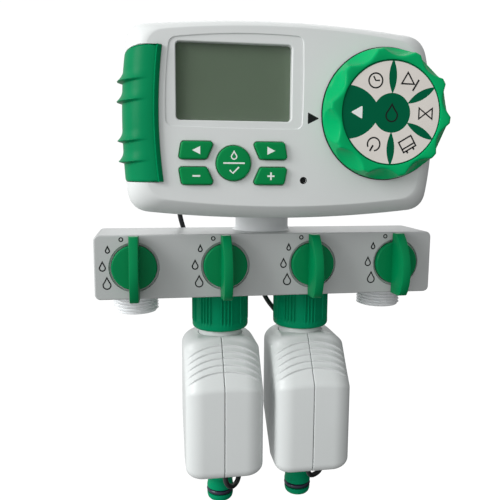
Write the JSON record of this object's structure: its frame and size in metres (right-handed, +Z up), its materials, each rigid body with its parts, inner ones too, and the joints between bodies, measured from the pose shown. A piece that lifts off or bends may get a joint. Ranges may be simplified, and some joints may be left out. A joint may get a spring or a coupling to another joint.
{
  "type": "drip irrigation timer",
  "caption": "Programmable drip irrigation timer: display, keys and selector dial over a four-way tap manifold with two hanging solenoid valves.",
  "frame": {"origin": "middle of the tap inlet's mouth, on the inlet nut's top face", "axes": "+X to the user's right, +Y away from the user, +Z up along the inlet, towards the tap"},
  "size_m": [0.1928, 0.0816, 0.2831],
  "materials": {
    "white_plastic": "satin moulded",
    "green_plastic": "glossy moulded",
    "clear_lens": "clear",
    "screen_glass": "reflective liquid crystal",
    "circuit_board": "solder mask",
    "silicone": "matte",
    "black_rubber": "matte",
    "steel": "machined",
    "silver_label": "satin printed",
    "battery_sleeve": "glossy sleeve",
    "coil_wrap": "taped winding"
  },
  "bodies": {
    "timer": {"front_shell": "white_plastic", "rear_shell": "white_plastic", "rear_bracket": "white_plastic", "manifold_body": "white_plastic", "flow_body_1": "white_plastic", "flow_body_2": "white_plastic", "valve_shell_1_left": "white_plastic", "valve_shell_1_right": "white_plastic", "valve_shell_2_left": "white_plastic", "valve_shell_2_right": "white_plastic", "side_grip": "green_plastic", "hose_connector_1": "green_plastic", "hose_connector_2": "green_plastic", "window_lens": "clear_lens", "lcd_module": "screen_glass", "main_board": "circuit_board", "keypad_mat": "silicone", "status_led": "black_rubber", "rotary_switch": "black_rubber", "cable_gland_1": "black_rubber", "cable_gland_2": "black_rubber", "cable_1": "black_rubber", "cable_2": "black_rubber", "inlet_washer": "black_rubber", "union_washer_1": "black_rubber", "union_washer_2": "black_rubber", "connector_oring_1": "black_rubber", "connector_oring_2": "black_rubber", "housing_screw_1": "steel", "housing_screw_2": "steel", "housing_screw_3": "steel", "housing_screw_4": "steel", "battery_1": "battery_sleeve", "battery_2": "battery_sleeve", "solenoid_coil_1": "coil_wrap", "solenoid_coil_2": "coil_wrap"},
    "dial": {"dial_knob": "green_plastic", "dial_label": "silver_label", "dial_shaft": "steel"},
    "button_left": {"key_left": "green_plastic"},
    "button_right": {"key_right": "green_plastic"},
    "button_minus": {"key_minus": "green_plastic"},
    "button_plus": {"key_plus": "green_plastic"},
    "button_ok": {"key_ok": "green_plastic"},
    "door": {"battery_door": "white_plastic"},
    "inlet_swivel": {"inlet_nut": "green_plastic"},
    "union_1": {"union_nut_1": "green_plastic"},
    "union_2": {"union_nut_2": "green_plastic"},
    "armature_1": {"plunger_1": "steel"},
    "armature_2": {"plunger_2": "steel"},
    "tap_1": {"tap_knob_1": "green_plastic", "ball_1": "steel"},
    "tap_2": {"tap_knob_2": "green_plastic", "ball_2": "steel"},
    "tap_3": {"tap_knob_3": "green_plastic", "ball_3": "steel"},
    "tap_4": {"tap_knob_4": "green_plastic", "ball_4": "steel"}
  },
  "joints": [
    {"name": "dial_turn", "type": "hinge", "parent": "timer", "child": "dial", "pos_m": [0.056, -0.048, 0.0204], "axis": [0, -1, 0], "continuous": true},
    {"name": "press_left", "type": "slide", "parent": "timer", "child": "button_left", "axis": [0, 1, 0], "range_m": [0, 0.0012], "stiffness_N_per_m": 300},
    {"name": "press_right", "type": "slide", "parent": "timer", "child": "button_right", "axis": [0, 1, 0], "range_m": [0, 0.0012], "stiffness_N_per_m": 300},
    {"name": "press_minus", "type": "slide", "parent": "timer", "child": "button_minus", "axis": [0, 1, 0], "range_m": [0, 0.0012], "stiffness_N_per_m": 300},
    {"name": "press_plus", "type": "slide", "parent": "timer", "child": "button_plus", "axis": [0, 1, 0], "range_m": [0, 0.0012], "stiffness_N_per_m": 300},
    {"name": "press_ok", "type": "slide", "parent": "timer", "child": "button_ok", "axis": [0, 1, 0], "range_m": [0, 0.0012], "stiffness_N_per_m": 300},
    {"name": "tap_1_turn", "type": "hinge", "parent": "timer", "child": "tap_1", "pos_m": [-0.075, -0.0261, -0.062], "axis": [0, -1, 0], "range_deg": [0, 120]},
    {"name": "tap_2_turn", "type": "hinge", "parent": "timer", "child": "tap_2", "pos_m": [-0.025, -0.0261, -0.062], "axis": [0, -1, 0], "range_deg": [0, 120]},
    {"name": "tap_3_turn", "type": "hinge", "parent": "timer", "child": "tap_3", "pos_m": [0.025, -0.0261, -0.062], "axis": [0, -1, 0], "range_deg": [0, 120]},
    {"name": "tap_4_turn", "type": "hinge", "parent": "timer", "child": "tap_4", "pos_m": [0.075, -0.0261, -0.062], "axis": [0, -1, 0], "range_deg": [0, 120]},
    {"name": "battery_door_swing", "type": "hinge", "parent": "timer", "child": "door", "pos_m": [-0.0689, -0.0187, 0.02], "axis": [0, 0, 1], "range_deg": [0, 110]},
    {"name": "inlet_nut_turn", "type": "hinge", "parent": "timer", "child": "inlet_swivel", "pos_m": [0, 0, 0], "axis": [0, 0, 1], "continuous": true},
    {"name": "union_1_turn", "type": "hinge", "parent": "timer", "child": "union_1", "pos_m": [-0.025, 0, -0.0801], "axis": [0, 0, 1], "continuous": true},
    {"name": "union_2_turn", "type": "hinge", "parent": "timer", "child": "union_2", "pos_m": [0.025, 0, -0.0801], "axis": [0, 0, 1], "continuous": true},
    {"name": "plunger_1_lift", "type": "slide", "parent": "timer", "child": "armature_1", "axis": [0, -1, 0], "range_m": [0, 0.0022], "stiffness_N_per_m": 150},
    {"name": "plunger_2_lift", "type": "slide", "parent": "timer", "child": "armature_2", "axis": [0, -1, 0], "range_m": [0, 0.0022], "stiffness_N_per_m": 150}
  ]
}
